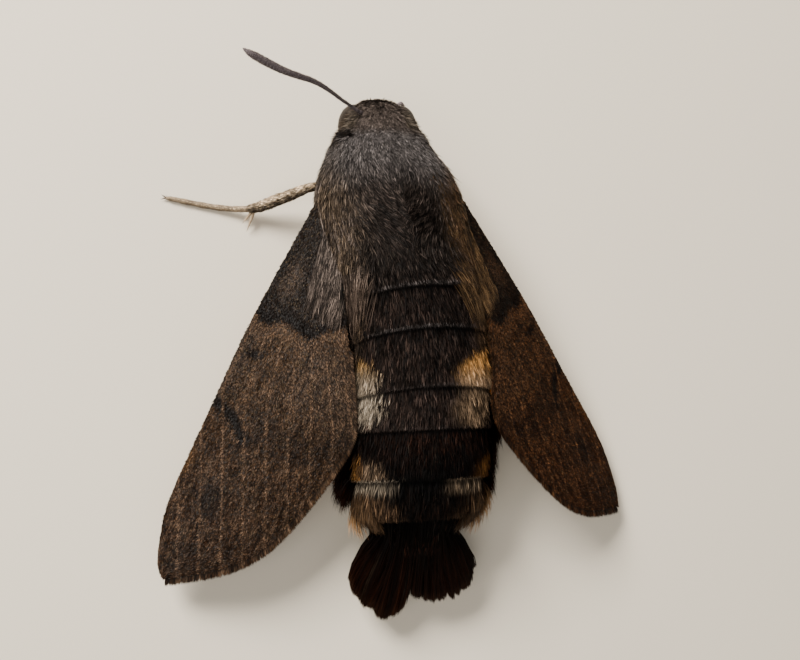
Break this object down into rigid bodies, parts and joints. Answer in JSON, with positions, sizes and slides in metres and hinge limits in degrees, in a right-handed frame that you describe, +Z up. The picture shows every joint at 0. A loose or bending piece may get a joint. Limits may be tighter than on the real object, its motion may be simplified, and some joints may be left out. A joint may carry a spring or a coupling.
{
  "type": "hawk moth",
  "caption": "Life-size hawk moth at rest with half-spread wings, a raised feeler and a tail fan, standing on its feet.",
  "frame": {"origin": "middle of the outline on the floor, under the moth, at the level of the soles of the feet", "axes": "+X to the moth's left, +Y towards its tail (the head faces -Y), +Z up"},
  "size_m": [0.028, 0.03, 0.011],
  "materials": {
    "grey_fur": "grey-olive scales lying flat like short fur",
    "face_fur": "short grey-brown hair-like scales",
    "brown_fur": "dark brown scales",
    "black_fur": "near-black long scales",
    "orange_fur": "dark brown scales with orange flanks",
    "pale_fur": "pale buff long scales",
    "eye": "dark glossy facets",
    "forewing": "dark grey-brown scales on a thin membrane",
    "hindwing": "orange scales with a brown border",
    "leg": "buff-grey scales",
    "antenna": "dark slate scales",
    "tongue": "smooth dark horn"
  },
  "bodies": {
    "root": {"abdomen_1": "brown_fur", "abdomen_2": "brown_fur", "abdomen_3": "orange_fur", "abdomen_4": "brown_fur", "abdomen_5": "black_fur", "abdomen_6": "brown_fur", "abdomen_7": "brown_fur", "antenna_left": "antenna", "antenna_right": "antenna", "collar": "grey_fur", "eye_left": "eye", "eye_right": "eye", "femur_fore_left": "leg", "femur_fore_right": "leg", "femur_hind_left": "leg", "femur_hind_right": "leg", "femur_mid_left": "leg", "femur_mid_right": "leg", "forewing_left": "forewing", "forewing_right": "forewing", "head": "face_fur", "hindwing_left": "hindwing", "hindwing_right": "hindwing", "palp_left": "face_fur", "palp_right": "face_fur", "shoulder_tuft_left": "grey_fur", "shoulder_tuft_right": "grey_fur", "side_tuft_left_1": "black_fur", "side_tuft_left_2": "black_fur", "side_tuft_left_3": "pale_fur", "side_tuft_right_1": "black_fur", "side_tuft_right_2": "black_fur", "side_tuft_right_3": "pale_fur", "tail_fan_left": "black_fur", "tail_fan_right": "black_fur", "tarsus_fore_left": "leg", "tarsus_fore_right": "leg", "tarsus_hind_left": "leg", "tarsus_hind_right": "leg", "tarsus_mid_left": "leg", "tarsus_mid_right": "leg", "thorax": "grey_fur", "tibia_fore_left": "leg", "tibia_fore_right": "leg", "tibia_hind_left": "leg", "tibia_hind_right": "leg", "tibia_mid_left": "leg", "tibia_mid_right": "leg", "tongue": "tongue"}
  },
  "joints": []
}
